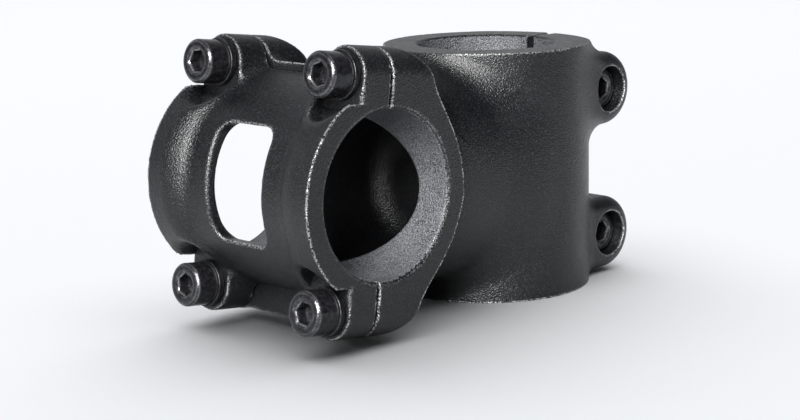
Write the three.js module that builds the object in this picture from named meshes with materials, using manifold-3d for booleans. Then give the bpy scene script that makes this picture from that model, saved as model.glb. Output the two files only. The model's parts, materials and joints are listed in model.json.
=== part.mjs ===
// A threadless handlebar stem with a four-bolt faceplate. Millimetres, +Z up, +X forward.
// It stands on the lower face of its steerer clamp at z = 0, centred on the origin in X and Y.
import * as THREE from 'three';
import { mergeVertices } from 'three/addons/utils/BufferGeometryUtils.js';
import Module from 'manifold-3d';

const wasm = await Module();
wasm.setup();

// Driving dimensions
const barRadius = 15.9;
const steererRadius = 14.3;
const extensionLength = 52.5;
const extensionRise = THREE.MathUtils.degToRad(7);
const extensionHeight = 22.4;
const stackHeight = 50.8;
const clampWidth = 44.7;
const boltSpacingAcross = 33.8;
const boltSpacingUp = 43.2;
const splitGap = 0.6;
const splitPlane = 1.0;
const earDepth = 7.0;
const bossLength = 11.2;
const ringWall = 4.6;
const barrelWall = 5.4;
const barrelSetback = 3.1;
const shoulderFoot = 13.4;
const shoulderTop = 14.1;
const shoulderHeight = 2.4;
const webFoot = 12;
const webShoulder = 15.7;
const webSlant = 1.8;
const bridgeHalfWidth = 13;
const upperBridgeTop = 22.6;
const lowerBridgeBottom = -26.4;
const extensionHalfWidth = 17.9;
const extensionHalfHeight = 19.6;
const extensionGrowth = 1.18;
const extensionEndHeight = 24.6;
const pocketRadius = 14.6;
const pocketBottomRadius = 11;
const pocketDepth = 34;
const pocketTaper = 7;
const steererClampWall = 7.2;
const rearReach = 29;
const pinchBoltSetback = 21.2;
const pinchBoltHeights = { upper: 39.9, lower: 8.6 };
const pinchSlotWidth = 2;
const lugHalfWidth = 16.5;
const lugEdge = 2;
const lugTopLean = 0.58 * Math.PI;
const pinchSeat = 8;
const windowWidth = 15;
const windowHeight = 22;
const windowCorner = 3;
const boltRadius = 2.5;
const boltLength = 18;
const headRadius = 4.25;
const headLength = 5;
const headChamfer = 0.35;
const socketAcrossFlats = 4;
const socketDepth = 2.6;
const washerRadius = 4.6;
const washerThickness = 0.9;
const restGap = 0.2;
const clearance = 0.25;
const threadClearance = 0.1;
const headClearance = 0.55;
const earPocketMargin = 1.9;
const threadedDepth = 9.6;
const boreSegments = 72;
const earSegments = 32;
const boltSegments = 24;

// Dimensions worked out from them
const clampHalfWidth = clampWidth / 2;
const endRingRadius = barRadius + ringWall;
const bodyRingRadius = endRingRadius - 0.3;
const barrelRadius = barRadius + barrelWall;
const steererClampRadius = steererRadius + steererClampWall;
const earRadius = clampHalfWidth - boltSpacingAcross / 2 - 0.05;
const clampBoltY = boltSpacingAcross / 2;
const clampBoltW = boltSpacingUp / 2;
const faceplateBack = splitPlane + splitGap / 2;
const bodyFront = splitPlane - splitGap / 2;
const earSeat = faceplateBack + earDepth;
const bossEnd = bodyFront - bossLength;
const underHead = restGap + washerThickness + restGap;
const holeRadius = boltRadius + clearance;
const threadRadius = boltRadius + threadClearance;
const extensionRun = extensionLength * Math.cos(extensionRise);
const pinchLugRadius = rearReach - pinchBoltSetback;
const steererX = (rearReach - extensionRun - endRingRadius) / 2;
const barX = steererX + extensionRun;
const barZ = extensionHeight + extensionLength * Math.sin(extensionRise);
const pinchBoltX = steererX - pinchBoltSetback;
const beyond = 60;
const cornersOfFour = [
  { name: 'upper_left', y: clampBoltY, w: clampBoltW },
  { name: 'upper_right', y: -clampBoltY, w: clampBoltW },
  { name: 'lower_left', y: clampBoltY, w: -clampBoltW },
  { name: 'lower_right', y: -clampBoltY, w: -clampBoltW },
];

// The bar clamp's own frame has its origin on the bar's axis, x forward and z up, and leans
// back by the rise. This matrix takes that frame to the part's.
const clampToPart = new THREE.Matrix4()
  .makeTranslation(barX, 0, barZ)
  .multiply(new THREE.Matrix4().makeRotationY(-extensionRise));

// ---- Solids and shapes ----

function solidOf(geometry) {
  const bare = geometry.clone();
  bare.deleteAttribute('normal');
  bare.deleteAttribute('uv');
  const merged = mergeVertices(bare.index ? bare.toNonIndexed() : bare, 1e-4);
  const mesh = new wasm.Mesh({
    numProp: 3,
    vertProperties: new Float32Array(merged.attributes.position.array),
    triVerts: new Uint32Array(merged.index.array),
  });
  mesh.merge();
  return new wasm.Manifold(mesh);
}

function joined(geometries) {
  return geometries.map(solidOf).reduce((whole, piece) => whole.add(piece));
}

function without(solid, cutters) {
  return cutters.map(solidOf).reduce((rest, cutter) => rest.subtract(cutter), solid);
}

function geometryOf(solid) {
  const mesh = solid.getMesh();
  const geometry = new THREE.BufferGeometry();
  geometry.setAttribute('position', new THREE.BufferAttribute(mesh.vertProperties, 3));
  geometry.setIndex(new THREE.BufferAttribute(mesh.triVerts, 1));
  geometry.computeVertexNormals();
  return geometry;
}

function boxBetween(low, high) {
  const size = high.map((value, i) => value - low[i]);
  const box = new THREE.BoxGeometry(...size);
  return box.translate(...low.map((value, i) => value + size[i] / 2));
}

// A turned solid about the Z axis, from its outline as [radius, height] pairs.
function turned(outline, segments) {
  const points = outline.map(([radius, height]) => new THREE.Vector2(radius, height));
  return new THREE.LatheGeometry(points, segments).rotateX(Math.PI / 2);
}

function rodAlongX(radius, from, to, y, z, segments = boltSegments) {
  const rod = new THREE.CylinderGeometry(radius, radius, to - from, segments);
  return rod.rotateZ(Math.PI / 2).translate((from + to) / 2, y, z);
}

function rodAlongY(radius, from, to, x, z, segments = boltSegments) {
  const rod = new THREE.CylinderGeometry(radius, radius, to - from, segments);
  return rod.translate(x, (from + to) / 2, z);
}

// An outline in the XZ plane, pushed from -halfWidth to +halfWidth in Y, its long edges rounded.
function slabAlongY(shape, halfWidth, edge = 0) {
  const slab = new THREE.ExtrudeGeometry(shape, {
    depth: 2 * (halfWidth - edge),
    curveSegments: 10,
    bevelEnabled: edge > 0,
    bevelThickness: edge,
    bevelSize: edge,
    bevelOffset: -edge,
    bevelSegments: 3,
  });
  return slab.translate(0, 0, edge - halfWidth).rotateX(Math.PI / 2);
}

function polygon(points) {
  return new THREE.Shape(points.map(([x, z]) => new THREE.Vector2(x, z)));
}

// A bore cutter along Z whose mouths, at plus and minus halfLength, open into small chamfers.
function boreCutter(radius, halfLength, chamfer) {
  return turned([
    [0, -halfLength - chamfer],
    [radius + 2 * chamfer, -halfLength - chamfer],
    [radius, -halfLength + chamfer],
    [radius, halfLength - chamfer],
    [radius + 2 * chamfer, halfLength + chamfer],
    [0, halfLength + chamfer],
  ], boreSegments);
}

function barBore() {
  return boreCutter(barRadius, clampHalfWidth, 0.5).rotateX(Math.PI / 2);
}

// ---- Pieces ----

function socketBolt() {
  const tip = 0.6;
  const blank = turned([
    [0, -boltLength],
    [boltRadius - tip, -boltLength],
    [boltRadius, -boltLength + tip],
    [boltRadius, 0],
    [headRadius, 0],
    [headRadius, headLength - headChamfer],
    [headRadius - headChamfer, headLength],
    [0, headLength],
  ], boltSegments);
  const acrossCorners = socketAcrossFlats / Math.cos(Math.PI / 6) / 2;
  const socket = new THREE.CylinderGeometry(acrossCorners, acrossCorners, 2 * socketDepth, 6);
  socket.rotateX(Math.PI / 2).translate(0, 0, headLength);
  return geometryOf(without(solidOf(blank), [socket]));
}

function washer() {
  return geometryOf(solidOf(turned([
    [holeRadius, 0],
    [washerRadius, 0],
    [washerRadius, washerThickness],
    [holeRadius, washerThickness],
    [holeRadius, 0],
  ], boltSegments)));
}

// The web that joins a clamp boss to the bar ring. side is +1 above the bar and -1 below.
// Its back slants away from the boss by slant where it meets the ring.
function bossWeb(y, side, front, back, slant) {
  const outline = polygon([
    [front, side * webFoot],
    [front, side * clampBoltW],
    [back, side * clampBoltW],
    [back - slant, side * webShoulder],
    [back - slant, side * webFoot],
  ]);
  return slabAlongY(outline, earRadius).translate(0, y, 0);
}

// The two raised rings at the faceplate's ends, each with a shoulder down to the barrel.
function faceplateRings() {
  const inner = barRadius - 1;
  return [1, -1].map((end) => turned([
    [inner, shoulderFoot],
    [endRingRadius - shoulderHeight, shoulderFoot],
    [endRingRadius, shoulderTop],
    [endRingRadius, clampHalfWidth],
    [inner, clampHalfWidth],
    [inner, shoulderFoot],
  ], boreSegments).rotateX(end * Math.PI / 2));
}

function faceplateWindow() {
  const right = windowWidth / 2 - windowCorner;
  const top = windowHeight / 2 - windowCorner;
  const shape = new THREE.Shape();
  shape.absarc(right, top, windowCorner, 0, Math.PI / 2);
  shape.absarc(-right, top, windowCorner, Math.PI / 2, Math.PI);
  shape.absarc(-right, -top, windowCorner, Math.PI, 1.5 * Math.PI);
  shape.absarc(right, -top, windowCorner, 1.5 * Math.PI, 2 * Math.PI);
  const cutter = new THREE.ExtrudeGeometry(shape, {
    depth: barRadius, curveSegments: 6, bevelEnabled: false,
  });
  return cutter.rotateX(Math.PI / 2).rotateZ(Math.PI / 2).translate(barRadius / 2, 0, 0);
}

function faceplate() {
  const rings = faceplateRings().map(solidOf);
  const barrel = solidOf(
    rodAlongY(barrelRadius, -shoulderTop, shoulderTop, -barrelSetback, 0, boreSegments));
  const ears = joined(cornersOfFour.flatMap(({ y, w }) => [
    rodAlongX(earRadius, faceplateBack, earSeat, y, w, earSegments),
    bossWeb(y, Math.sign(w), earSeat, faceplateBack, 0),
  ]));
  const rough = rings.reduce((whole, ring) => whole.add(ring), barrel).add(ears);
  const bolts = cornersOfFour.flatMap(({ y, w }) => [
    rodAlongX(holeRadius, 0, beyond, y, w),
    rodAlongX(headRadius + earPocketMargin, earSeat, beyond, y, w, earSegments),
  ]);
  const behind = boxBetween([-beyond, -beyond, -beyond], [faceplateBack, beyond, beyond]);
  return geometryOf(without(rough, [behind, barBore(), faceplateWindow(), ...bolts]));
}

// Everything that the body has about the bar: the rear ring, four threaded bosses and the
// two bridges that join the bosses across the clamp. It stands a little proud of the split
// plane, which stemBody trims.
function barClampHalf() {
  const front = bodyFront + 1;
  const ring = rodAlongY(
    bodyRingRadius, -clampHalfWidth, clampHalfWidth, 0, 0, boreSegments);
  const bosses = cornersOfFour.flatMap(({ y, w }) => [
    rodAlongX(earRadius, bossEnd, front, y, w, earSegments),
    bossWeb(y, Math.sign(w), front, bossEnd, webSlant),
  ]);
  const upperBridge = polygon([
    [front, webFoot], [front, upperBridgeTop], [-4, upperBridgeTop], [-13, 17], [-13, webFoot],
  ]);
  const lowerBridge = polygon([
    [front, -webFoot], [-13, -webFoot], [-13, -19], [-6, lowerBridgeBottom],
    [front, lowerBridgeBottom],
  ]);
  const bridges = [upperBridge, lowerBridge].map((shape) => slabAlongY(shape, bridgeHalfWidth));
  const pieces = [ring, ...bosses, ...bridges];
  return joined(pieces.map((piece) => piece.applyMatrix4(clampToPart)));
}

// The oval tube between the clamps, which grows wider and taller towards the steerer.
function extension() {
  const barEnd = new THREE.Vector3(barX - 6, 0, barZ);
  const steererEnd = new THREE.Vector3(steererX, 0, extensionEndHeight);
  const along = barEnd.clone().sub(steererEnd);
  const tube = new THREE.CylinderGeometry(1, extensionGrowth, along.length(), boreSegments);
  tube.scale(extensionHalfHeight, 1, extensionHalfWidth);
  tube.rotateZ(Math.atan2(along.z, along.x) - Math.PI / 2).rotateX(Math.PI / 2);
  return solidOf(tube.translate(...barEnd.add(steererEnd).divideScalar(2)));
}

function steererClamp() {
  const edge = 0.6;
  const tube = turned([
    [0, 0],
    [steererClampRadius - edge, 0],
    [steererClampRadius, edge],
    [steererClampRadius, stackHeight - edge],
    [steererClampRadius - edge, stackHeight],
    [0, stackHeight],
  ], boreSegments);
  return solidOf(tube.translate(steererX, 0, 0));
}

// One of the two rear lugs, as a round-backed block about its pinch bolt.
function pinchLug(height, topAtClamp) {
  const inside = steererX - steererRadius / 2;
  const shape = new THREE.Shape();
  shape.moveTo(inside, height - pinchLugRadius);
  shape.lineTo(inside, topAtClamp);
  shape.absarc(pinchBoltX, height, pinchLugRadius, lugTopLean, 1.5 * Math.PI);
  return solidOf(slabAlongY(shape, lugHalfWidth, lugEdge));
}

function pinchCutters() {
  const slot = boxBetween([steererX - beyond, -pinchSlotWidth / 2, -1],
    [steererX - 10, pinchSlotWidth / 2, stackHeight + 1]);
  const drilled = Object.values(pinchBoltHeights).flatMap((height) => [
    rodAlongY(headRadius + headClearance, pinchSeat, beyond, pinchBoltX, height, earSegments),
    rodAlongY(holeRadius, 0, beyond, pinchBoltX, height),
    rodAlongY(threadRadius, -beyond, 0, pinchBoltX, height),
  ]);
  return [slot, ...drilled];
}

function stemBody() {
  const { upper, lower } = pinchBoltHeights;
  const rough = barClampHalf()
    .add(extension())
    .add(steererClamp())
    .add(pinchLug(upper, stackHeight - 1))
    .add(pinchLug(lower, lower + pinchLugRadius));
  const pocket = turned([
    [0, -pocketDepth],
    [pocketBottomRadius, -pocketDepth],
    [pocketRadius, pocketTaper - pocketDepth],
    [pocketRadius, 0],
    [0, 0],
  ], 48).rotateY(Math.PI / 2);
  const threads = cornersOfFour.map(
    ({ y, w }) => rodAlongX(threadRadius, bodyFront - threadedDepth, beyond, y, w));
  const front = boxBetween([bodyFront, -beyond, -beyond], [beyond, beyond, beyond]);
  const clampCutters = [front, barBore(), pocket, ...threads];
  const steererBore = boreCutter(steererRadius, stackHeight / 2, 0.4);
  steererBore.translate(steererX, 0, stackHeight / 2);
  return geometryOf(without(rough, [
    ...clampCutters.map((cutter) => cutter.applyMatrix4(clampToPart)),
    steererBore,
    ...pinchCutters(),
  ]));
}

// ---- The assembly ----

function namedMesh(name, geometry, color, roughness, metalness) {
  const material = new THREE.MeshStandardMaterial({ color, roughness, metalness });
  const mesh = new THREE.Mesh(geometry, material);
  mesh.name = name;
  return mesh;
}

const bodyColor = 0x222326;
const boltColor = 0x131416;
const boltShape = socketBolt();
const washerShape = washer();

function bolt(name) {
  return namedMesh(name, boltShape, boltColor, 0.35, 0.9);
}

function boltWasher(name) {
  return namedMesh(name, washerShape, boltColor, 0.45, 0.9);
}

const group = new THREE.Group();
group.add(namedMesh('stem_body', stemBody(), bodyColor, 0.75, 0.3));

const barClamp = new THREE.Group();
barClamp.applyMatrix4(clampToPart);
barClamp.add(namedMesh('faceplate', faceplate(), bodyColor, 0.75, 0.3));
for (const { name, y, w } of cornersOfFour) {
  const seat = new THREE.Group();
  seat.position.set(earSeat, y, w);
  seat.rotation.y = Math.PI / 2;
  const washerMesh = boltWasher(`faceplate_washer_${name}`);
  washerMesh.position.z = restGap;
  const boltMesh = bolt(`faceplate_bolt_${name}`);
  boltMesh.position.z = underHead;
  seat.add(washerMesh, boltMesh);
  barClamp.add(seat);
}
group.add(barClamp);

for (const [name, height] of Object.entries(pinchBoltHeights)) {
  const seat = new THREE.Group();
  seat.position.set(pinchBoltX, pinchSeat, height);
  seat.rotation.x = -Math.PI / 2;
  const washerMesh = boltWasher(`pinch_washer_${name}`);
  washerMesh.position.z = restGap;
  const boltMesh = bolt(`pinch_bolt_${name}`);
  boltMesh.position.z = underHead;
  seat.add(washerMesh, boltMesh);
  group.add(seat);
}

export default group;
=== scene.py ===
"""A threadless handlebar stem with a bolted faceplate, built around its fixed frame.

The two forgings are solid fields, in millimetres, that are turned into meshes. The screws'
threads and the washers are Geometry Nodes. Every piece is in metres in the frame.
"""
import json
import math

import bpy
import bmesh
import numpy as np
from bpy.props import FloatProperty, FloatVectorProperty, IntProperty, PointerProperty
from mathutils import Matrix, Vector


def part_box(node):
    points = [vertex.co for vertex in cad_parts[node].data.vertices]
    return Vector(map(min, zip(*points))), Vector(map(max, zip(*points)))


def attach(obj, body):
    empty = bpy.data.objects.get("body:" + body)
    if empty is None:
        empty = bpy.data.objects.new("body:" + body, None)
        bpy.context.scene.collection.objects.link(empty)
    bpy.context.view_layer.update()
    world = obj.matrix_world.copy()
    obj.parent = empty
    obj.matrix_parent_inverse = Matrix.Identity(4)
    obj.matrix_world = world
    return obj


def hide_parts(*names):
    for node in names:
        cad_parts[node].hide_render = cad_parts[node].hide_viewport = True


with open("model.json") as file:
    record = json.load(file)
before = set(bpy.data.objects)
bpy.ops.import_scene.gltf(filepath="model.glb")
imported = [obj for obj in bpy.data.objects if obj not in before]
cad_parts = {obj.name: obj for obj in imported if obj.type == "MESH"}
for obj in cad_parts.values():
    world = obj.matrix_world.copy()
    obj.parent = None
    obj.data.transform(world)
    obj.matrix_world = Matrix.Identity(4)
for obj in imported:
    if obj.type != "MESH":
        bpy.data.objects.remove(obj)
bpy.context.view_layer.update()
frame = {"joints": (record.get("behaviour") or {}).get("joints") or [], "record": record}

bl_info = {
    "name": "Handlebar stem",
    "version": (1, 0, 0),
    "blender": (4, 5, 0),
    "location": "View3D > Sidebar > Stem",
    "description": "Makes a matte black handlebar stem with its faceplate, screws and washers",
    "category": "Object",
}

MILLIMETRE = 0.001
ROOT = "root"
CORNERS = ("upper_left", "upper_right", "lower_left", "lower_right")
LEVELS = ("upper", "lower")


# ---- What the frame says ----

def joint(name):
    return next(j for j in frame["joints"] if j["name"] == name)


def opening_centre(name):
    boxes = frame["record"]["physics"]["openings"]
    low, high = next(b["box_m"] for b in boxes if b["name"] == name)
    return (Vector(low) + Vector(high)) / 2


def mount_height(name):
    mounts = frame["record"]["mounts"]
    return next(m["pos_m"][2] for m in mounts if m["name"] == name)


CLAMP_AXIS = Vector(joint("faceplate_slide")["axis"])
BAR = opening_centre("bar_bore")
STEERER = opening_centre("steerer_bore")
STACK = mount_height("steerer_clamp_top")
CORNER_SEAT = Vector(joint("faceplate_upper_left_turn")["pos_m"])
PINCH_SEATS = {level: Vector(joint(f"pinch_{level}_turn")["pos_m"]) for level in LEVELS}


# ---- What a user may change ----

def length(name, description, default):
    return FloatProperty(
        name=name, description=description, default=default, min=0, precision=5,
        subtype="DISTANCE", unit="LENGTH")


def amount(name, description, default):
    return FloatProperty(
        name=name, description=description, default=default, min=0, max=1, subtype="FACTOR")


def colour(name, description, default):
    return FloatVectorProperty(
        name=name, description=description, default=default, min=0, max=1, size=3,
        subtype="COLOR")


class StemForgingSettings(bpy.types.PropertyGroup):
    bar_radius: length("Bar radius", "Radius of the bore for the bar", 0.0159)
    steerer_radius: length("Steerer radius", "Radius of the bore for the steerer", 0.0143)
    half_width: length("Half width", "Half the bar clamp's width", 0.02235)
    ring_radius: length("Ring radius", "Outside of the faceplate's end rings", 0.0205)
    barrel_radius: length("Barrel radius", "Outside of the faceplate between them", 0.0213)
    barrel_setback: length("Barrel setback", "How far its axis lies behind the bar's", 0.0031)
    shoulder: length("Shoulder", "From the middle to each shoulder's crest", 0.016)
    ear_radius: length("Ear radius", "Radius of the ears and bosses", 0.00545)
    split_plane: length("Split plane", "The split's distance before the bar axis", 0.001)
    split_gap: length("Split gap", "Gap between faceplate and body", 0.0006)
    extension_half_width: length("Extension half width", "Sideways, at the bar", 0.0188)
    extension_half_height: length("Extension half height", "Upright, at the bar", 0.0195)
    steerer_clamp_radius: length("Steerer clamp radius", "Outside of the sleeve", 0.0215)
    lug_radius: length("Lug radius", "Round back of the rear lugs", 0.0078)
    lug_half_width: length("Lug half width", "Half the width of the rear lugs", 0.0165)
    slot_width: length("Slot width", "Width of the pinch slot", 0.002)
    pocket_radius: length("Pocket radius", "Hollow behind the bar", 0.0146)
    window_width: length("Window width", "Window in the faceplate", 0.015)
    window_height: length("Window height", "Window in the faceplate", 0.022)
    edge: length("Edge", "Rounding of the outer edges", 0.0003)
    cell: length("Cell", "Size of the mesh's cells", 0.00044)


class StemScrewSettings(bpy.types.PropertyGroup):
    thread_radius: length("Thread radius", "Outside of the thread", 0.0025)
    thread_pitch: length("Thread pitch", "Travel in one turn", 0.0008)
    thread_depth: length("Thread depth", "From crest to root", 0.00045)
    shank_length: length("Shank length", "Below the head", 0.018)
    head_radius: length("Head radius", "Radius of the head", 0.00425)
    head_length: length("Head length", "Height of the head", 0.005)
    socket_flats: length("Socket", "Across the flats of the hexagon", 0.004)
    socket_depth: length("Socket depth", "Depth of the hexagon", 0.0026)
    washer_radius: length("Washer radius", "Outside of the washer", 0.0046)
    washer_hole: length("Washer hole", "Radius of its hole", 0.00275)
    under_head: length("Under the head", "Room between seat and head", 0.0013)
    sides: IntProperty(name="Sides", description="Steps round a screw", default=48, min=12)


class StemFinishSettings(bpy.types.PropertyGroup):
    black: colour("Black", "Blasted and anodised forgings", (0.0026, 0.0028, 0.0033))
    worn: colour("Worn", "Aluminium where an edge is rubbed", (0.50, 0.50, 0.51))
    # Paler than the black: partly the machined face, partly a painted sheen for light on the
    # bores.
    bored_and_sheen: colour("Bored", "Machined bores", (0.072, 0.074, 0.08))
    oxide: colour("Oxide", "Black oxide on the screws", (0.012, 0.012, 0.014))
    steel: colour("Steel", "Steel where the oxide is rubbed off", (0.42, 0.42, 0.43))
    grain: length("Grain", "Size of the blasted grain", 0.00034)
    wear: amount("Wear", "How far the edges are rubbed", 0.85)


class StemStageSettings(bpy.types.PropertyGroup):
    floor: colour("Floor", "Colour of the floor", (0.86, 0.875, 0.895))
    azimuth: FloatProperty(
        name="Azimuth", description="Camera's turn from straight ahead", subtype="ANGLE",
        unit="ROTATION", default=math.radians(44.493))
    elevation: FloatProperty(
        name="Elevation", description="Camera's height angle", subtype="ANGLE",
        unit="ROTATION", default=math.radians(11.652))
    roll: FloatProperty(
        name="Roll", description="Camera's turn about its view", subtype="ANGLE",
        unit="ROTATION", default=math.radians(-1.154))
    distance: length("Distance", "From the bar's axis to the camera", 0.340)
    aside: length("Aside", "Camera's place to its right of the bar's axis", 0.018019)
    below: length("Below", "Camera's place below the bar's axis", 0.005354)
    lens: FloatProperty(
        name="Lens", description="Focal length in millimetres", default=80.09)


# ---- Solid fields: negative inside, in millimetres ----

BORED_EDGE = 0.12            # roundings: machined bore, split line, drilled hole
SPLIT_EDGE = 0.45
DRILLED_EDGE = 0.15
BAR_CHAMFER = 0.55
STEERER_CHAMFER = 0.5
CLEAR_HOLE = 2.75            # radii round an M5 screw: plain hole, threads, counterbore
THREADED_HOLE = 2.6
COUNTERBORE = 4.8
BORE_SKIN = 0.1              # how close to a bore's radius its faces lie


def disc(a, b, radius):
    return np.hypot(a, b) - radius


def slab(a, low, high):
    return np.maximum(low - a, a - high)


def meet(a, b, r):
    """What both hold, with the outer edge between them rounded to r."""
    corner = np.hypot(np.maximum(a + r, 0), np.maximum(b + r, 0))
    return np.minimum(-r, np.maximum(a, b)) + corner


def join(a, b, r):
    """What either holds, with the inner corner between them filled to radius r."""
    corner = np.hypot(np.maximum(r - a, 0), np.maximum(r - b, 0))
    return np.maximum(r, np.minimum(a, b)) - corner


def cut(a, b, r):
    """What a holds and b doesn't, with the edge between them rounded to r."""
    return meet(a, -b, r)


def chamfered_bore(radial, radius, depth, chamfer):
    """A bore whose mouth opens by chamfer. depth is how far a point lies behind the mouth."""
    cone = (radial - radius + depth - chamfer) * math.sqrt(0.5)
    return np.minimum(radial - radius, cone)


def in_millimetres(settings):
    """The settings' lengths as a dict in millimetres."""
    names = settings.bl_rna.properties.keys()
    skipped = ("rna_type", "name")
    return {n: getattr(settings, n) / MILLIMETRE for n in names if n not in skipped}


def clamp_frame(x, z):
    """x and z in the bar clamp's own leaning frame, from the bar's axis."""
    ahead = x - BAR.x / MILLIMETRE
    above = z - BAR.z / MILLIMETRE
    return (ahead * CLAMP_AXIS.x + above * CLAMP_AXIS.z,
            above * CLAMP_AXIS.x - ahead * CLAMP_AXIS.z)


def corner_place():
    """How far a clamp screw's seat lies ahead, aside and above, in the clamp's frame."""
    x, y, z = CORNER_SEAT / MILLIMETRE
    ahead, above = clamp_frame(x, z)
    return ahead, y, above


def ear_column(s, y, w):
    """The ears' and bosses' outline seen from the front: upright sides and a round top."""
    _, aside, above = corner_place()
    return disc(np.abs(y) - aside, np.maximum(np.abs(w) - above, 0), s["ear_radius"])


def bar_bore(s, u, y, w):
    radial = np.hypot(u, w)
    return chamfered_bore(radial, s["bar_radius"], s["half_width"] - np.abs(y), BAR_CHAMFER)


def faceplate_shoulders(s, aside, ring, w):
    """The end rings, which fall in a slope to the barrel and sweep inwards at the ears."""
    sweep_start, sweep_length, sweep_inwards = 7, 11, 4.5
    sweep = sweep_inwards * np.clip((np.abs(w) - sweep_start) / sweep_length, 0, 1) ** 2
    outwards, inwards = 0.79, 0.61
    slope = outwards * ring + inwards * (s["shoulder"] - sweep - aside)
    crest = 1.6
    return meet(ring, slope, crest)


def screw_hood(s, u, w, aside, rise):
    """The pocket round a screw's head, longer towards the bar, over a sound wall."""
    radius, shortening, wall = 6, 0.71, 1.5
    seat, corner_y, _ = corner_place()
    hood = disc(aside - corner_y, np.where(rise < 0, rise * shortening, rise), radius)
    floor = np.maximum(seat - u, s["bar_radius"] + wall - np.hypot(u, w))
    return np.maximum(hood, floor)


def window(s, u, aside, w):
    corner = 3
    across = aside - s["window_width"] / 2
    upright = np.abs(w) - s["window_height"] / 2
    return np.maximum(meet(across, upright, corner), -u)


def faceplate_field(s, x, y, z):
    ear_fillet, ear_foot, slope_foot, hood_edge, window_edge = 1.6, 2.2, 0.8, 0.9, 0.7
    barrel_end = 3
    u, w = clamp_frame(x, z)
    aside = np.abs(y)
    seat, corner_y, corner_w = corner_place()
    back = s["split_plane"] + s["split_gap"] / 2
    column = ear_column(s, y, w)
    top = np.abs(w) - corner_w - s["ear_radius"] - s["edge"]
    ear_wall = meet(top, u - seat, s["edge"])
    shoulders = faceplate_shoulders(s, aside, disc(u, w, s["ring_radius"]), w)
    ends = meet(join(shoulders, ear_wall, ear_fillet), column, s["edge"])
    rings = meet(shoulders, aside - s["half_width"], s["edge"])
    barrel = disc(u + s["barrel_setback"], w, s["barrel_radius"])
    middle = np.maximum(barrel, aside - s["half_width"] + barrel_end)
    ears = meet(ear_wall, column, s["edge"])
    whole = np.minimum(join(rings, middle, slope_foot), ends)
    whole = np.minimum(whole, join(ears, middle, ear_foot))
    rise = np.abs(w) - corner_w
    whole = cut(whole, screw_hood(s, u, w, aside, rise), hood_edge)
    whole = meet(whole, back - u, SPLIT_EDGE)
    whole = cut(whole, bar_bore(s, u, y, w), BORED_EDGE)
    whole = cut(whole, disc(aside - corner_y, rise, CLEAR_HOLE), DRILLED_EDGE)
    return cut(whole, window(s, u, aside, w), window_edge)


def bar_clamp_field(s, u, y, w):
    """The body about the bar: rear ring, four bosses and the bridges between them."""
    aside = np.abs(y)
    _, corner_y, corner_w = corner_place()
    column = ear_column(s, y, w)
    boss_back, lean_up, lean_back, boss_round = 10.4, 0.385, 0.923, 6
    rear = (np.abs(w) - corner_w + 0.6) * lean_up - (u + boss_back) * lean_back
    top = np.abs(w) - corner_w - s["ear_radius"] - s["edge"]
    wall = meet(top, rear, boss_round)
    inset, wall_fillet = 0.3, 3
    ring = disc(u, w, s["ring_radius"] - inset)
    ends = meet(join(ring, wall, wall_fillet), column, s["edge"])
    rings = meet(ring, aside - s["half_width"], s["edge"])
    bosses = meet(wall, column, s["edge"])
    bridge_round = 4
    saddle_top, saddle_back = w - 22.9, (w - 21.4) * 0.8 - (u + 5) * 0.6
    saddle = np.maximum(meet(saddle_top, saddle_back, bridge_round), -w)
    saddle = np.maximum(saddle, aside - corner_y)
    sill_bottom, sill_back = -w - 26.5, rear + 1.5
    sill = np.maximum(meet(sill_bottom, sill_back, bridge_round), w)
    sill = np.maximum(sill, aside - corner_y)
    saddle_fillet, sill_fillet = 2.6, 0.9
    bridged = np.minimum(join(bosses, saddle, saddle_fillet), join(bosses, sill, sill_fillet))
    return np.minimum(np.minimum(ends, rings), bridged)


def extension_field(s, x, y, z):
    """The oval tube between the clamps, wider and taller towards the steerer."""
    bar_x, steerer_x = BAR.x / MILLIMETRE, STEERER.x / MILLIMETRE
    widening, heightening, height, fall = 1.0, 4.9, 28.9, 4.3
    t = (bar_x - x) / (bar_x - steerer_x)
    half_width = s["extension_half_width"] + widening * t
    half_height = s["extension_half_height"] + heightening * t
    centre = height - fall * t
    squareness = 2.4
    across = (np.abs(y) / half_width) ** squareness
    upright = (np.abs(z - centre) / half_height) ** squareness
    ratio = np.maximum(across + upright, 1e-6) ** (1 / squareness)
    radial = np.hypot(y, z - centre)
    oval = radial - radial / ratio
    past_axis, end_round = 3, 12
    return meet(oval, slab(x, steerer_x - past_axis, bar_x), end_round)


def lug_field(s, level, x, y, z):
    """A rear lug, round at the back. The upper one grows and leans towards the sleeve."""
    axis = PINCH_SEATS[level] / MILLIMETRE
    lean, side_round, inside_sleeve = 0.095, 3, 4
    growth = lean * np.maximum(x - axis.x, 0) if level == "upper" else 0.0
    back = np.hypot(np.minimum(x - axis.x, 0), z - axis.z - growth)
    sides = np.abs(y) - s["lug_half_width"]
    lug = meet(back - s["lug_radius"] - growth, sides, side_round)
    front = x - STEERER.x / MILLIMETRE + s["steerer_radius"] - inside_sleeve
    return np.maximum(lug, front)


def pinch_holes_field(s, x, y, z):
    """The pinch slot with the screws' holes and counterbores."""
    slot_front, mouth_edge = 9, 0.2
    slot = slab(y, -s["slot_width"] / 2, s["slot_width"] / 2)
    holes = np.maximum(slot, x - STEERER.x / MILLIMETRE + slot_front)
    for seat in PINCH_SEATS.values():
        axis = seat / MILLIMETRE
        radial = np.hypot(x - axis.x, z - axis.z)
        spot = meet(radial - COUNTERBORE, axis.y - y, mouth_edge)
        drilled = radial - np.where(y > 0, CLEAR_HOLE, THREADED_HOLE)
        holes = np.minimum(holes, np.minimum(spot, drilled))
    return holes


def hollow_field(s, u, y, w):
    """The hollow of the extension behind the bar, narrower towards its round end."""
    drop, narrowing, starts, depth, end_round = 1, 0.08, 16, 33.5, 5
    taper = narrowing * np.maximum(-u - starts, 0)
    hollow = meet(disc(y, w + drop, s["pocket_radius"]) + taper, -u - depth, end_round)
    return np.maximum(hollow, u)


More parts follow.
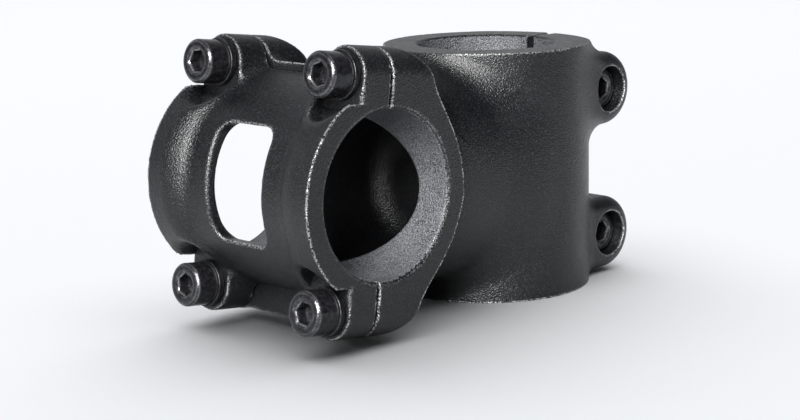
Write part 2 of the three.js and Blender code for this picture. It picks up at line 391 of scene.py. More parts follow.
def body_field(s, x, y, z):
    fillet, lower_lug_fillet, clamp_fillet = 4, 1.8, 2.5
    u, w = clamp_frame(x, z)
    _, corner_y, corner_w = corner_place()
    stack = STACK / MILLIMETRE
    radial = np.hypot(x - STEERER.x / MILLIMETRE, y)
    sleeve = join(radial - s["steerer_clamp_radius"], extension_field(s, x, y, z), fillet)
    sleeve = join(sleeve, lug_field(s, "upper", x, y, z), fillet)
    sleeve = join(sleeve, lug_field(s, "lower", x, y, z), lower_lug_fillet)
    sleeve = meet(sleeve, slab(z, 0, stack), s["edge"])
    whole = join(sleeve, bar_clamp_field(s, u, y, w), clamp_fillet)
    front = s["split_plane"] - s["split_gap"] / 2
    whole = meet(whole, u - front, SPLIT_EDGE)
    whole = cut(whole, bar_bore(s, u, y, w), BORED_EDGE)
    hollow_edge, thread_depth, thread_edge, slot_edge = 0.6, 9, 0.25, 0.3
    whole = cut(whole, hollow_field(s, u, y, w), hollow_edge)
    hole = disc(np.abs(y) - corner_y, np.abs(w) - corner_w, THREADED_HOLE)
    whole = cut(whole, np.maximum(hole, -u - thread_depth), thread_edge)
    mouth = np.minimum(z, stack - z)
    steerer_bore = chamfered_bore(radial, s["steerer_radius"], mouth, STEERER_CHAMFER)
    whole = cut(whole, steerer_bore, BORED_EDGE)
    return cut(whole, pinch_holes_field(s, x, y, z), slot_edge)


# ---- From a field to a mesh ----

def gradient(field, points, step=0.01):
    """Unit normals of a field at points."""
    normals = np.empty_like(points)
    for axis in range(3):
        ahead, behind = points.copy(), points.copy()
        ahead[:, axis] += step
        behind[:, axis] -= step
        normals[:, axis] = field(*ahead.T) - field(*behind.T)
    return normals / np.maximum(np.linalg.norm(normals, axis=1, keepdims=True), 1e-9)


def sample(field, low, cell, counts):
    """The field's values at a grid's points, a few layers at a time."""
    x, y, z = [low[i] + cell * np.arange(counts[i]) for i in range(3)]
    values = np.empty(counts)
    layers = 12
    for start in range(0, counts[0], layers):
        part = x[start:start + layers, None, None]
        values[start:start + layers] = field(part, y[None, :, None], z[None, None, :])
    return values


def crossings(field, values, low, cell, axis):
    """Where the surface cuts the grid's edges along axis: index, point, outward sign."""
    step = np.eye(3, dtype=int)[axis]
    last = np.array(values.shape) - step
    first_value = values[:last[0], :last[1], :last[2]]
    second_value = values[step[0]:, step[1]:, step[2]:]
    index = np.argwhere((first_value < 0) != (second_value < 0))
    a, b = first_value[tuple(index.T)], second_value[tuple(index.T)]
    start = low + cell * index
    near, far = np.zeros(len(index)), np.ones(len(index))
    value_near, value_far = a.copy(), b.copy()
    for _ in range(4):
        share = near + (far - near) * value_near / (value_near - value_far)
        points = start.copy()
        points[:, axis] += cell * share
        value = field(*points.T)
        same = (value < 0) == (value_near < 0)
        near, value_near = np.where(same, share, near), np.where(same, value, value_near)
        far, value_far = np.where(same, far, share), np.where(same, value_far, value)
    return index, points, a < 0


def contour(field, low, high, cell):
    """Vertices and quads of the surface where the field is 0, keeping its sharp edges."""
    counts = np.ceil((high - low) / cell).astype(int) + 1
    values = sample(field, low, cell, counts)
    cell_ids, cell_points, quads = [], [], []
    for axis in range(3):
        index, points, outward = crossings(field, values, low, cell, axis)
        b, c = np.eye(3, dtype=int)[(axis + 1) % 3], np.eye(3, dtype=int)[(axis + 2) % 3]
        round_edge = [index - b - c, index - c, index, index - b]
        ids = [np.ravel_multi_index(tuple(i.T), counts) for i in round_edge]
        cell_ids += ids
        cell_points += [points] * 4
        corners = np.stack(ids, axis=1)
        quads.append(np.where(outward[:, None], corners, corners[:, ::-1]))
    ids = np.concatenate(cell_ids)
    used, place = np.unique(ids, return_inverse=True)
    points = np.concatenate([cell_points[4 * axis] for axis in range(3)])
    normals = gradient(field, points)
    splits = np.cumsum([len(cell_points[4 * axis]) for axis in range(2)])
    normals = np.concatenate([n for part in np.split(normals, splits) for n in [part] * 4])
    vertices = fitted(np.concatenate(cell_points), normals, place, len(used))
    corner = low + cell * np.stack(np.unravel_index(used, counts), axis=1)
    vertices = np.clip(vertices, corner, corner + cell)
    return vertices, np.searchsorted(used, np.concatenate(quads))


def fitted(points, normals, place, count):
    """The point of each cell that lies nearest to all the planes through its crossings."""
    def total(values):
        return np.bincount(place, values, count)
    number = total(np.ones(len(place)))
    middle = np.stack([total(points[:, i]) / number for i in range(3)], axis=1)
    offset = np.einsum("ij,ij->i", normals, points - middle[place])
    square = np.empty((count, 3, 3))
    side = np.empty((count, 3))
    for i in range(3):
        side[:, i] = total(normals[:, i] * offset) / number
        for j in range(i, 3):
            square[:, i, j] = total(normals[:, i] * normals[:, j]) / number
            square[:, j, i] = square[:, i, j]
    size, direction = np.linalg.eigh(square)
    flatness = 0.06
    weak = size < flatness * size[:, 2:]
    inverse = np.where(weak, 0, 1 / np.where(weak, 1, size))
    along = np.einsum("nji,nj->ni", direction, side) * inverse
    return middle + np.einsum("nij,nj->ni", direction, along)


def plain_mesh(name, vertices, faces):
    mesh = bpy.data.meshes.new(name)
    mesh.vertices.add(len(vertices))
    mesh.vertices.foreach_set("co", vertices.astype(np.float32).ravel())
    size = faces.shape[1]
    mesh.loops.add(faces.size)
    mesh.loops.foreach_set("vertex_index", faces.astype(np.int32).ravel())
    mesh.polygons.add(len(faces))
    mesh.polygons.foreach_set("loop_start", np.arange(0, faces.size, size, dtype=np.int32))
    mesh.update(calc_edges=True)
    mesh.validate()
    return mesh


def thinned(name, vertices, faces, most):
    """The mesh with at most that many triangles, taken first from where it is flattest."""
    dense = plain_mesh(name + "_dense", vertices, faces)
    carrier = new_object(name + "_dense", dense)
    modifier = carrier.modifiers.new("thin", "DECIMATE")
    modifier.ratio = min(1.0, most / (2 * len(faces)))
    modifier.use_collapse_triangulate = True
    mesh = evaluated_mesh(carrier, name)
    bpy.data.objects.remove(carrier)
    bpy.data.meshes.remove(dense)
    return mesh


def evaluated_mesh(obj, name):
    graph = bpy.context.evaluated_depsgraph_get()
    mesh = bpy.data.meshes.new_from_object(obj.evaluated_get(graph), depsgraph=graph)
    mesh.name = name
    return mesh


def new_object(name, mesh):
    obj = bpy.data.objects.new(name, mesh)
    bpy.context.scene.collection.objects.link(obj)
    return obj


def corner_arrays(mesh):
    """Vertex places in millimetres, the corners' vertices, and each corner's polygon."""
    vertices = np.empty(len(mesh.vertices) * 3)
    mesh.vertices.foreach_get("co", vertices)
    loops = np.empty(len(mesh.loops), np.int32)
    mesh.loops.foreach_get("vertex_index", loops)
    sizes = np.empty(len(mesh.polygons), np.int32)
    mesh.polygons.foreach_get("loop_total", sizes)
    return vertices.reshape(-1, 3), loops, np.repeat(np.arange(len(sizes)), sizes)


def dress(mesh, field, bores):
    """Gives the mesh its field's true normals and its bored faces."""
    vertices, loops, owner = corner_arrays(mesh)
    flat, middle = np.empty(len(mesh.polygons) * 3), np.empty(len(mesh.polygons) * 3)
    mesh.polygons.foreach_get("normal", flat)
    mesh.polygons.foreach_get("center", middle)
    flat, middle = flat.reshape(-1, 3)[owner], middle.reshape(-1, 3)
    smooth = gradient(field, vertices)[loops]
    share, sharp = 0.2, math.radians(24)
    inward = vertices[loops] + share * (middle[owner] - vertices[loops])
    beside = gradient(field, inward)
    limit = math.cos(sharp)
    chosen = np.where(close(beside, flat, limit), beside, flat)
    chosen = np.where(close(smooth, flat, limit), smooth, chosen)
    mesh.polygons.foreach_set("use_smooth", np.ones(len(mesh.polygons), bool))
    mesh.polygons.foreach_set("material_index", bores(*middle.T).astype(np.int32))
    mesh.normals_split_custom_set(chosen.astype(np.float32))
    mesh.transform(Matrix.Scale(MILLIMETRE, 4))


def close(a, b, limit):
    return (np.einsum("ij,ij->i", a, b) > limit)[:, None]


def forged(name, node, field, bores, settings, most):
    """A piece made from a field, within the box of the CAD node that it replaces."""
    low, high = [np.array(corner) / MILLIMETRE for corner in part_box(node)]
    cell = settings["cell"] * 1
    margin = 3 * cell
    vertices, faces = contour(field, low - margin, high + margin, cell)
    mesh = thinned(name, vertices, faces, most)
    dress(mesh, field, bores)
    piece = new_object(name, mesh)
    # The bores' material carries a painted sheen in its pale colour.
    for made in (blasted_black(), bored_metal_and_sheen()):
        mesh.materials.append(made)
    return piece


# ---- Materials ----

def fresh_material(name):
    material = bpy.data.materials.get(name)
    if material is not None:
        return material, None
    material = bpy.data.materials.new(name)
    material.use_nodes = True
    material.node_tree.nodes.clear()
    return material, Shading(material.node_tree)


class Shading:
    """Adds nodes to a material's tree with short calls."""

    def __init__(self, tree):
        self.tree = tree
        self.place = self.add("ShaderNodeTexCoord").outputs["Object"]

    def add(self, kind, **settings):
        node = self.tree.nodes.new(kind)
        for name, value in settings.items():
            setattr(node, name, value)
        return node

    def put(self, socket, value):
        if isinstance(value, bpy.types.NodeSocket):
            self.tree.links.new(value, socket)
        else:
            socket.default_value = value

    def noise(self, size, detail=2.0, roughness=0.5, stretch=None):
        place = self.place
        if stretch is not None:
            mapping = self.add("ShaderNodeMapping")
            self.put(mapping.inputs["Vector"], place)
            mapping.inputs["Scale"].default_value = stretch
            place = mapping.outputs["Vector"]
        node = self.add("ShaderNodeTexNoise")
        self.put(node.inputs["Vector"], place)
        node.inputs["Scale"].default_value = 1 / size
        node.inputs["Detail"].default_value = detail
        node.inputs["Roughness"].default_value = roughness
        return node.outputs["Fac"]

    def number(self, operation, a, b=0.0, c=0.0):
        node = self.add("ShaderNodeMath", operation=operation)
        for socket, value in zip(node.inputs, (a, b, c)):
            self.put(socket, value)
        return node.outputs[0]

    def between(self, value, low, high, to_low=0.0, to_high=1.0):
        node = self.add("ShaderNodeMapRange")
        for name, given in (("Value", value), ("From Min", low), ("From Max", high),
                            ("To Min", to_low), ("To Max", to_high)):
            self.put(node.inputs[name], given)
        return node.outputs["Result"]

    def mix(self, share, a, b):
        node = self.add("ShaderNodeMix", data_type="RGBA")
        self.put(node.inputs["Factor"], share)
        self.put(node.inputs[6], a)
        self.put(node.inputs[7], b)
        return node.outputs[2]

    def bump(self, height, distance, under=None):
        node = self.add("ShaderNodeBump")
        node.inputs["Strength"].default_value = 1.0
        node.inputs["Distance"].default_value = distance
        self.put(node.inputs["Height"], height)
        if under is not None:
            self.put(node.inputs["Normal"], under)
        return node.outputs["Normal"]

    def edge(self, depth):
        """1 where the piece is thinner than depth, as along an edge, and 0 on a plain face."""
        thin = self.add("ShaderNodeAmbientOcclusion", samples=12, inside=True, only_local=True)
        thin.inputs["Distance"].default_value = depth
        return self.between(thin.outputs["AO"], 0.97, 0.86)

    def finish(self, base, roughness, metallic, normal, specular=0.5):
        shader = self.add("ShaderNodeBsdfPrincipled")
        self.put(shader.inputs["Base Color"], base)
        self.put(shader.inputs["Roughness"], roughness)
        self.put(shader.inputs["Metallic"], metallic)
        self.put(shader.inputs["Normal"], normal)
        shader.inputs["Specular IOR Level"].default_value = specular
        output = self.add("ShaderNodeOutputMaterial")
        self.put(output.inputs["Surface"], shader.outputs["BSDF"])


def shade(colour_value, factor=1.0):
    return (*[min(1.0, c * factor) for c in colour_value], 1.0)


def finishes():
    return bpy.context.scene.stem_finish


def blasted_black():
    """Anodised black over a blasted grain, rubbed to bare aluminium along its edges."""
    material, s = fresh_material("blasted_black")
    if s is None:
        return material
    f = finishes()
    grain = s.noise(f.grain, 2.0, 0.55)
    pits = s.noise(f.grain * 2.6, 1.0, 0.5)
    cloud = s.noise(0.009, 3.0, 0.6)
    speck = s.between(grain, 0.55, 0.66)
    base = s.mix(speck, shade(f.black, 0.6), shade(f.black, 5.5))
    base = s.mix(s.between(cloud, 0.35, 0.7, 0.0, 0.4), base, shade(f.black, 2.1))
    worn = s.number("MULTIPLY", s.edge(0.0004), s.between(grain, 0.45, 0.58))
    worn = s.number("MULTIPLY", worn, s.between(cloud, 0.3, 0.65, 0.3, 1.0))
    worn = s.number("MULTIPLY", worn, f.wear)
    base = s.mix(worn, base, shade(f.worn))
    rough = s.between(s.number("ADD", pits, cloud), 0.7, 1.3, 0.3, 0.4)
    s.finish(base, rough, worn, s.bump(grain, f.grain * 0.5), 0.5)
    return material


def bored_metal_and_sheen():
    """The bores: anodised too, but bored after blasting, with fine rings about their axis.
    Their colour is much paler than the black: partly the machined face, partly a painted
    sheen.
    """
    material, s = fresh_material("bored_metal_and_sheen")
    if s is None:
        return material
    f = finishes()
    grain = s.noise(f.grain * 0.9, 2.0, 0.6)
    rings = s.noise(0.0011, 2.0, 0.6, stretch=(0.25, 3.0, 0.25))
    cloud = s.noise(0.006, 2.0, 0.6)
    # Pale tone: partly the machined face, partly a painted sheen standing in for light on the
    # bores.
    base = s.mix(s.between(grain, 0.4, 0.68), shade(f.bored_and_sheen, 0.4), shade(f.bored_and_sheen, 2.3))
    base = s.mix(s.between(cloud, 0.4, 0.7, 0.0, 0.4), base, shade(f.bored_and_sheen, 1.8))
    rough = s.between(s.number("ADD", grain, rings), 0.7, 1.3, 0.38, 0.58)
    normal = s.bump(rings, 0.0001)
    normal = s.bump(grain, f.grain * 0.7, under=normal)
    s.finish(base, rough, 0.35, normal, 0.5)
    return material


def black_oxide():
    """The screws: glossy black oxide with turning marks, bright where tools touched."""
    material, s = fresh_material("black_oxide")
    if s is None:
        return material
    f = finishes()
    fine = s.noise(0.00035, 2.0, 0.6)
    marks = s.noise(0.0008, 2.0, 0.6)
    cloud = s.noise(0.0024, 2.0, 0.6)
    base = s.mix(s.between(marks, 0.35, 0.7), shade(f.oxide, 0.6), shade(f.oxide, 2.0))
    worn = s.number("MULTIPLY", s.edge(0.0005), s.between(cloud, 0.36, 0.6, 0.4, 1.0))
    worn = s.number("MULTIPLY", worn, s.between(fine, 0.4, 0.6, 0.3, 1.0))
    worn = s.number("MULTIPLY", worn, f.wear)
    base = s.mix(worn, base, shade(f.steel))
    metal = s.between(worn, 0.0, 1.0, 0.55, 1.0)
    rough = s.between(s.number("ADD", marks, fine), 0.7, 1.3, 0.16, 0.3)
    normal = s.bump(marks, 0.00003)
    normal = s.bump(fine, 0.00002, under=normal)
    s.finish(base, rough, metal, normal, 0.5)
    return material


def washer_metal():
    """The washers: the screws' black oxide, duller and a little paler."""
    material, s = fresh_material("washer_metal")
    if s is None:
        return material
    f = finishes()
    fine = s.noise(0.0003, 2.0, 0.6)
    cloud = s.noise(0.002, 2.0, 0.6)
    base = s.mix(s.between(cloud, 0.35, 0.7), shade(f.oxide, 0.7), shade(f.oxide, 1.6))
    worn = s.number("MULTIPLY", s.edge(0.0002), s.between(fine, 0.42, 0.6))
    worn = s.number("MULTIPLY", worn, f.wear)
    base = s.mix(worn, base, shade(f.steel, 0.25))
    rough = s.between(cloud, 0.35, 0.7, 0.3, 0.45)
    s.finish(base, rough, 0.7, s.bump(fine, 0.00003), 0.5)
    return material


def floor_paper():
    """Pale paper with a faint tooth."""
    material, s = fresh_material("floor_paper")
    if s is None:
        return material
    tooth = s.noise(0.0012, 3.0, 0.6)
    tone = bpy.context.scene.stem_stage.floor
    base = s.mix(s.between(tooth, 0.3, 0.7), shade(tone, 0.985), shade(tone, 1.0))
    s.finish(base, s.between(tooth, 0.3, 0.7, 0.75, 0.9), 0.0, s.bump(tooth, 0.00002), 0.2)
    return material


# ---- Geometry Nodes ----

class Tree:
    """A Geometry Nodes tree with named inputs, built with short calls."""

    def __init__(self, name):
        self.tree = bpy.data.node_groups.new(name, "GeometryNodeTree")
        self.inputs = {}
        self.entry = self.tree.nodes.new("NodeGroupInput")

    def add(self, kind, **settings):
        node = self.tree.nodes.new(kind)
        for name, value in settings.items():
            setattr(node, name, value)
        return node

    def named(self, name, kind):
        socket = self.tree.interface.new_socket(name, in_out="INPUT", socket_type=kind)
        self.inputs[name] = socket.identifier
        return self.entry.outputs[name]

    def size(self, name):
        return self.named(name, "NodeSocketFloat")

    def count(self, name):
        return self.named(name, "NodeSocketInt")

    def put(self, socket, value):
        if isinstance(value, bpy.types.NodeSocket):
            self.tree.links.new(value, socket)
        else:
            socket.default_value = value

    def number(self, operation, a, b=0.0, c=0.0):
        node = self.add("ShaderNodeMath", operation=operation)
        for socket, value in zip(node.inputs, (a, b, c)):
            self.put(socket, value)
        return node.outputs[0]

    def ramp(self, value, low, high):
        node = self.add("ShaderNodeMapRange")
        self.put(node.inputs["Value"], value)
        self.put(node.inputs["From Min"], low)
        self.put(node.inputs["From Max"], high)
        return node.outputs["Result"]

    def close(self, geometry, material):
        """Ends the tree: instances made real and one material."""
        real = self.add("GeometryNodeRealizeInstances")
        self.put(real.inputs["Geometry"], geometry)
        finish = self.add("GeometryNodeSetMaterial")
        self.put(finish.inputs["Geometry"], real.outputs["Geometry"])
        finish.inputs["Material"].default_value = material
        self.tree.interface.new_socket(
            "Geometry", in_out="OUTPUT", socket_type="NodeSocketGeometry")
        exit_node = self.tree.nodes.new("NodeGroupOutput")
        self.put(exit_node.inputs[0], finish.outputs["Geometry"])


def thread_tree(material):
    """A threaded shank below z = 0: a rolled sheet whose radius follows a helix."""
    t = Tree("threaded_shank")
    radius, pitch, depth = t.size("Radius"), t.size("Pitch"), t.size("Depth")
    whole, sides, rows = t.size("Length"), t.count("Sides"), t.count("Rows")
    sheet = t.add("GeometryNodeMeshGrid")
    sheet.inputs["Size X"].default_value = 1
    sheet.inputs["Size Y"].default_value = 1
    t.put(sheet.inputs["Vertices X"], t.number("ADD", sides, 1))
    t.put(sheet.inputs["Vertices Y"], rows)
    place = t.add("ShaderNodeSeparateXYZ")
    t.put(place.inputs[0], t.add("GeometryNodeInputPosition").outputs[0])
    turn = t.number("ADD", place.outputs["X"], 0.5)
    down = t.number("MULTIPLY", t.number("ADD", place.outputs["Y"], 0.5), whole)
    phase = t.number("FRACT", t.number("SUBTRACT", t.number("DIVIDE", down, pitch), turn))
    flank = t.number("MULTIPLY", t.number("ABSOLUTE", t.number("SUBTRACT", phase, 0.5)), 2)
    root = t.number("SUBTRACT", 1, t.number("MINIMUM", t.number("MULTIPLY", flank, 1.2), 1))
    run_in = t.ramp(down, t.number("MULTIPLY", pitch, 0.8), t.number("MULTIPLY", pitch, 1.8))
    groove = t.number("MULTIPLY", t.number("MULTIPLY", root, run_in), depth)
    to_tip = t.number("SUBTRACT", whole, down)
    point = t.number("SUBTRACT", 1, t.ramp(to_tip, 0, t.number("MULTIPLY", pitch, 0.9)))
    lead = t.number("MULTIPLY", point, t.number("MULTIPLY", depth, 1.3))
    wall = t.number("SUBTRACT", t.number("SUBTRACT", radius, groove), lead)
    open_end = t.number("GREATER_THAN", to_tip, 0.000001)
    wall = t.number("MULTIPLY", wall, open_end)
    angle = t.number("MULTIPLY", turn, -2 * math.pi)
    rolled = t.add("ShaderNodeCombineXYZ")
    t.put(rolled.inputs["X"], t.number("MULTIPLY", wall, t.number("COSINE", angle)))
    t.put(rolled.inputs["Y"], t.number("MULTIPLY", wall, t.number("SINE", angle)))
    t.put(rolled.inputs["Z"], t.number("MULTIPLY", down, -1))
    move = t.add("GeometryNodeSetPosition")
    t.put(move.inputs["Geometry"], sheet.outputs["Mesh"])
    t.put(move.inputs["Position"], rolled.outputs["Vector"])
    seam = t.add("GeometryNodeMergeByDistance")
    t.put(seam.inputs["Geometry"], move.outputs["Geometry"])
    seam.inputs["Distance"].default_value = 0.000002
    t.close(seam.outputs["Geometry"], material)
    return t


def washer_tree(material):
    """A washer standing on z = 0: a rounded section led round a circle."""
    t = Tree("washer")
    hole, outside, thick = t.size("Hole radius"), t.size("Outer radius"), t.size("Thickness")
    edge = t.size("Edge")
    section = t.add("GeometryNodeCurvePrimitiveQuadrilateral")
    t.put(section.inputs["Width"], t.number("SUBTRACT", outside, hole))
    t.put(section.inputs["Height"], thick)
    rounded = t.add("GeometryNodeFilletCurve", mode="POLY")
    t.put(rounded.inputs["Curve"], section.outputs["Curve"])
    rounded.inputs["Count"].default_value = 4
    t.put(rounded.inputs["Radius"], edge)
    line = t.add("GeometryNodeCurvePrimitiveCircle")
    line.inputs["Resolution"].default_value = 72
    t.put(line.inputs["Radius"], t.number("MULTIPLY", t.number("ADD", hole, outside), 0.5))
    sweep = t.add("GeometryNodeCurveToMesh")
    t.put(sweep.inputs["Curve"], line.outputs["Curve"])
    t.put(sweep.inputs["Profile Curve"], rounded.outputs["Curve"])
    lift = t.add("GeometryNodeTransform")
    t.put(lift.inputs["Geometry"], sweep.outputs["Mesh"])
    up = t.add("ShaderNodeCombineXYZ")
    t.put(up.inputs["Z"], t.number("MULTIPLY", thick, 0.5))
    t.put(lift.inputs["Translation"], up.outputs["Vector"])
    t.close(lift.outputs["Geometry"], material)
    return t


def grown(name, tree, values):
    """The mesh that a tree grows with these named inputs."""
    carrier = new_object(name + "_carrier", bpy.data.meshes.new(name + "_carrier"))
    modifier = carrier.modifiers.new(name, "NODES")
    modifier.node_group = tree.tree
    for key, value in values.items():
        modifier[tree.inputs[key]] = value
    mesh = evaluated_mesh(carrier, name)
    empty = carrier.data
    bpy.data.objects.remove(carrier)
    bpy.data.meshes.remove(empty)
    return mesh


# ---- Screws and washers ----

def head_loops(s):
    """The head's loops (height, radius, six-sided), from the neck up into the socket."""
    r, top = s.head_radius, s.head_length
    half_flats = s.socket_flats / 2
    floor = top - s.socket_depth
    bevel, foot, hair = 0.00045, 0.0002, 0.00006
    loops = [(0, s.thread_radius, False), (0, s.thread_radius + foot, False)]
    loops += [(0, r - foot, False), (hair, r - hair, False), (foot, r, False)]
    loops += [(top * share, r, False) for share in (0.25, 0.5, 0.75)]
    loops += [(top - bevel - 0.00008, r, False), (top - bevel + 0.00004, r - hair, False)]
    loops += [(top - hair, r - bevel, False), (top, r - bevel - 2 * hair, False)]
    rim, lip, wall = half_flats * 1.36, half_flats * 1.29, half_flats * 0.995
    loops += [(top, rim, False), (top - hair, lip, False)]
    loops += [(top - 0.0004, half_flats, True), (top - 0.0006, wall, True)]
    loops += [(floor, wall, True), (floor, half_flats * 0.8, False)]
    drill_tip = 0.0005
    return loops + [(floor - drill_tip, half_flats * 0.3, False)]


def loop_points(loop, sides):
    height, radius, six_sided = loop
    for i in range(sides):
        angle = 2 * math.pi * i / sides
        to_flat = (angle % (math.pi / 3)) - math.pi / 6
        reach = radius / math.cos(to_flat) if six_sided else radius
        yield Vector((reach * math.cos(angle), reach * math.sin(angle), height))


def screw_mesh(s, shank):
    """One closed screw: the turned head on top of its threaded shank."""
    bm = bmesh.new()
    bm.from_mesh(shank)
    rings = [[bm.verts.new(p) for p in loop_points(loop, s.sides)] for loop in head_loops(s)]
    for low, high in zip(rings, rings[1:]):
        for i in range(s.sides):
            j = (i + 1) % s.sides
            bm.faces.new((low[i], low[j], high[j], high[i]))
    bm.faces.new(rings[-1])
    same_place, sharp = 0.000004, math.radians(32)
    bmesh.ops.remove_doubles(bm, verts=bm.verts, dist=same_place)
    bmesh.ops.recalc_face_normals(bm, faces=bm.faces)
    for face in bm.faces:
        face.smooth = True
    for edge in bm.edges:
        edge.smooth = len(edge.link_faces) == 2 and edge.calc_face_angle() < sharp
    mesh = bpy.data.meshes.new("screw")
    bm.to_mesh(mesh)
    bm.free()
    return mesh


def standing_on(seat, axis, turn, height=0.0):
    """Takes a screw's frame to the part's: z along axis, its foot at height over seat."""
    facing = axis.to_track_quat("Z", "Y").to_matrix().to_4x4()
    place = Matrix.Translation(seat + axis * height)
    return place @ facing @ Matrix.Rotation(turn, 4, "Z")


def copied(mesh, name, matrix, material):
    """A named piece with its own copy of mesh, set in place by matrix."""
    own = mesh.copy()
    own.name = name
    own.transform(matrix)
    own.materials.clear()
    own.materials.append(material)
    return new_object(name, own)


def fastener_places():
    """Each screw's family and corner, such as faceplate and upper_left."""
    return [("faceplate", c) for c in CORNERS] + [("pinch", level) for level in LEVELS]


# ---- The stage ----

def look_from(stage):
    """The camera's matrix, from its angles about the bar's axis."""
    a, e, r = stage.azimuth, stage.elevation, stage.roll
    back = Vector((math.cos(a) * math.cos(e), math.sin(a) * math.cos(e), math.sin(e)))
    level = Vector((0, 0, 1)).cross(back).normalized()
    upright = back.cross(level)
    right = level * math.cos(r) + upright * math.sin(r)
    up = upright * math.cos(r) - level * math.sin(r)
    place = BAR + back * stage.distance + right * stage.aside - up * stage.below
    return Matrix.Translation(place) @ Matrix((right, up, back)).transposed().to_4x4()


def area_light(name, place, aim, size, power):
    light = bpy.data.lights.new(name, "AREA")
    light.shape = "RECTANGLE"
    light.size, light.size_y = size
    light.energy = power
    obj = bpy.data.objects.new(name, light)
    bpy.context.scene.collection.objects.link(obj)
    obj.location = place
    obj.rotation_euler = (Vector(aim) - Vector(place)).to_track_quat("-Z", "Y").to_euler()
    return obj


def light_world(tree, turn):
    """A soft studio that is bright behind the stem and dim on the camera's side of it."""
    s = Shading(tree)
    towards = s.add("ShaderNodeVectorMath", operation="DOT_PRODUCT")
    s.put(towards.inputs[0], s.place.node.outputs["Generated"])
    bright_side = turn @ Vector((-0.35, 0.1, -1)).normalized()
    towards.inputs[1].default_value = bright_side
    dim, bright = 0.018, 0.7
    strength = s.between(towards.outputs["Value"], 0.15, 0.95, dim, bright)
    s.put(tree.nodes["Background"].inputs["Color"], (0.96, 0.98, 1.0, 1.0))
    s.put(tree.nodes["Background"].inputs["Strength"], strength)


# ---- Operators ----

class STEM_OT_body(bpy.types.Operator):
    """Makes the forged body: rear half of the bar clamp, extension, sleeve and lugs"""
    bl_idname = "stem.make_body"
    bl_label = "Body"

    def execute(self, context):
        s = in_millimetres(context.scene.stem_forging)

        def field(x, y, z):
            return body_field(s, x, y, z)

        def bores(x, y, z):
            u, w = clamp_frame(x, z)
            bar = np.abs(np.hypot(u, w) - s["bar_radius"]) < BORE_SKIN
            radial = np.hypot(x - STEERER.x / MILLIMETRE, y)
            return bar | (radial < s["steerer_radius"] + BORE_SKIN)

        most_triangles = 190000
        piece = forged("body_forging", "stem_body", field, bores, s, most_triangles)
        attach(piece, ROOT)
        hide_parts("stem_body")
        return {"FINISHED"}


class STEM_OT_faceplate(bpy.types.Operator):
    """Makes the faceplate with its ears, shoulders and window"""
    bl_idname = "stem.make_faceplate"
    bl_label = "Faceplate"

    def execute(self, context):
        s = in_millimetres(context.scene.stem_forging)

        def field(x, y, z):
            return faceplate_field(s, x, y, z)

        def bores(x, y, z):
            return np.hypot(*clamp_frame(x, z)) < s["bar_radius"] + BORE_SKIN

        most_triangles = 90000
        piece = forged("faceplate_forging", "faceplate", field, bores, s, most_triangles)
        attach(piece, "faceplate")
        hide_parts("faceplate")
        return {"FINISHED"}


class STEM_OT_screws(bpy.types.Operator):
    """Makes the six socket head screws, each with its thread"""
    bl_idname = "stem.make_screws"
    bl_label = "Screws"

    def execute(self, context):
        s = context.scene.stem_screw
        steps_in_a_pitch = 8
        rows = round(s.shank_length / s.thread_pitch * steps_in_a_pitch) + 1
        shank = grown("shank", thread_tree(black_oxide()), {
            "Radius": s.thread_radius, "Pitch": s.thread_pitch, "Depth": s.thread_depth,
            "Length": s.shank_length, "Sides": s.sides, "Rows": rows})
        screw = screw_mesh(s, shank)
        first_turn, next_turn = 0.35, 0.8
        for number, (family, corner) in enumerate(fastener_places()):
            turning = joint(f"{family}_{corner}_turn")
            turned = first_turn + next_turn * number
            matrix = standing_on(
                Vector(turning["pos_m"]), Vector(turning["axis"]), turned, s.under_head)
            name = f"{family}_screw_{corner}"
            piece = copied(screw, name, matrix, black_oxide())
            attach(piece, f"{family}_{corner}_screw")
            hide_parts(f"{family}_bolt_{corner}")
        return {"FINISHED"}


class STEM_OT_washers(bpy.types.Operator):
    """Makes the washer under each screw head"""
    bl_idname = "stem.make_washers"
    bl_label = "Washers"

    def execute(self, context):
        s = context.scene.stem_screw
        air, edge = 0.00005, 0.00015
        ring = grown("washer", washer_tree(washer_metal()), {
            "Hole radius": s.washer_hole, "Outer radius": s.washer_radius,
            "Thickness": s.under_head - 2 * air, "Edge": edge})
        for family, corner in fastener_places():
            turning = joint(f"{family}_{corner}_turn")
            matrix = standing_on(
                Vector(turning["pos_m"]), Vector(turning["axis"]), 0.0, air)
            piece = copied(ring, f"{family}_ring_{corner}", matrix, washer_metal())
            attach(piece, f"{family}_{corner}_travel")
            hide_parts(f"{family}_washer_{corner}")
        return {"FINISHED"}


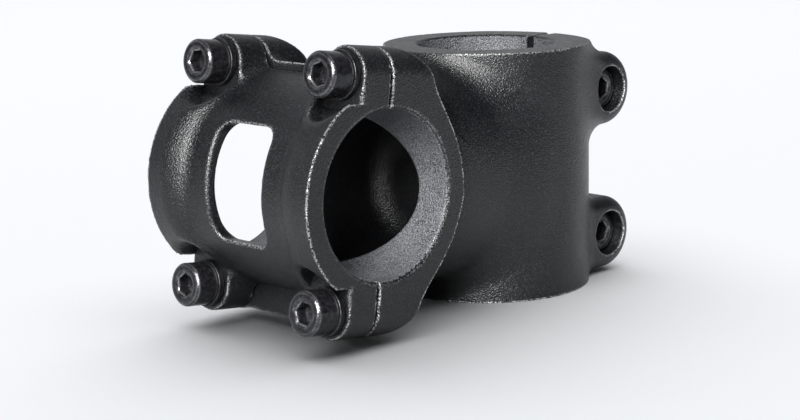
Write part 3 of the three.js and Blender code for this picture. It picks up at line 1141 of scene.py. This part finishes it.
class STEM_OT_stage(bpy.types.Operator):
    """Makes the floor, the lights and the camera"""
    bl_idname = "stem.make_stage"
    bl_label = "Stage"

    def execute(self, context):
        stage = context.scene.stem_stage
        reach = 6.0
        corners = np.array([[-1, -1, 0], [1, -1, 0], [1, 1, 0], [-1, 1, 0]]) * reach
        floor = new_object("floor", plain_mesh("floor", corners, np.array([[0, 1, 2, 3]])))
        floor.data.materials.append(floor_paper())
        camera = bpy.data.objects.new("camera", bpy.data.cameras.new("camera"))
        context.scene.collection.objects.link(camera)
        camera.data.lens = stage.lens
        camera.data.clip_start, camera.data.clip_end = 0.01, 20
        camera.matrix_world = look_from(stage)
        context.scene.camera = camera
        world = bpy.data.worlds.new("studio")
        context.scene.world = world
        world.use_nodes = True
        light_world(world.node_tree, look_from(stage).to_3x3())
        between_clamps = 0.3
        aim = (BAR.x * between_clamps, 0, BAR.z)
        key = area_light("key", (0.55, 0.34, 0.39), aim, size=(0.26, 0.46), power=20)
        overhead = area_light("overhead", (-0.2, -0.3, 1.9), aim, size=(4, 4), power=88)
        pieces = [o for o in context.scene.objects if o.type == "MESH" and o is not floor]
        for light, lit in ((key, pieces), (overhead, [floor])):
            flagged = bpy.data.collections.new("lit_by_" + light.name)
            for obj in lit:
                flagged.objects.link(obj)
            light.light_linking.receiver_collection = flagged
        context.scene.view_settings.view_transform = "Standard"
        return {"FINISHED"}


class STEM_PT_panel(bpy.types.Panel):
    """Lists the steps that make the stem"""
    bl_label = "Handlebar stem"
    bl_idname = "STEM_PT_panel"
    bl_space_type = "VIEW_3D"
    bl_region_type = "UI"
    bl_category = "Stem"

    def draw(self, context):
        for operator in OPERATORS:
            self.layout.operator(operator.bl_idname)


SETTINGS = {
    "stem_forging": StemForgingSettings,
    "stem_screw": StemScrewSettings,
    "stem_finish": StemFinishSettings,
    "stem_stage": StemStageSettings,
}
OPERATORS = (STEM_OT_body, STEM_OT_faceplate, STEM_OT_screws, STEM_OT_washers, STEM_OT_stage)


def register():
    for kind in (*SETTINGS.values(), *OPERATORS, STEM_PT_panel):
        bpy.utils.register_class(kind)
    for name, kind in SETTINGS.items():
        setattr(bpy.types.Scene, name, PointerProperty(type=kind))


def unregister():
    for name in SETTINGS:
        delattr(bpy.types.Scene, name)
    for kind in (STEM_PT_panel, *OPERATORS, *SETTINGS.values()):
        bpy.utils.unregister_class(kind)


def main():
    register()
    bpy.ops.stem.make_body()
    bpy.ops.stem.make_faceplate()
    bpy.ops.stem.make_screws()
    bpy.ops.stem.make_washers()
    bpy.ops.stem.make_stage()


if __name__ == "__main__":
    main()
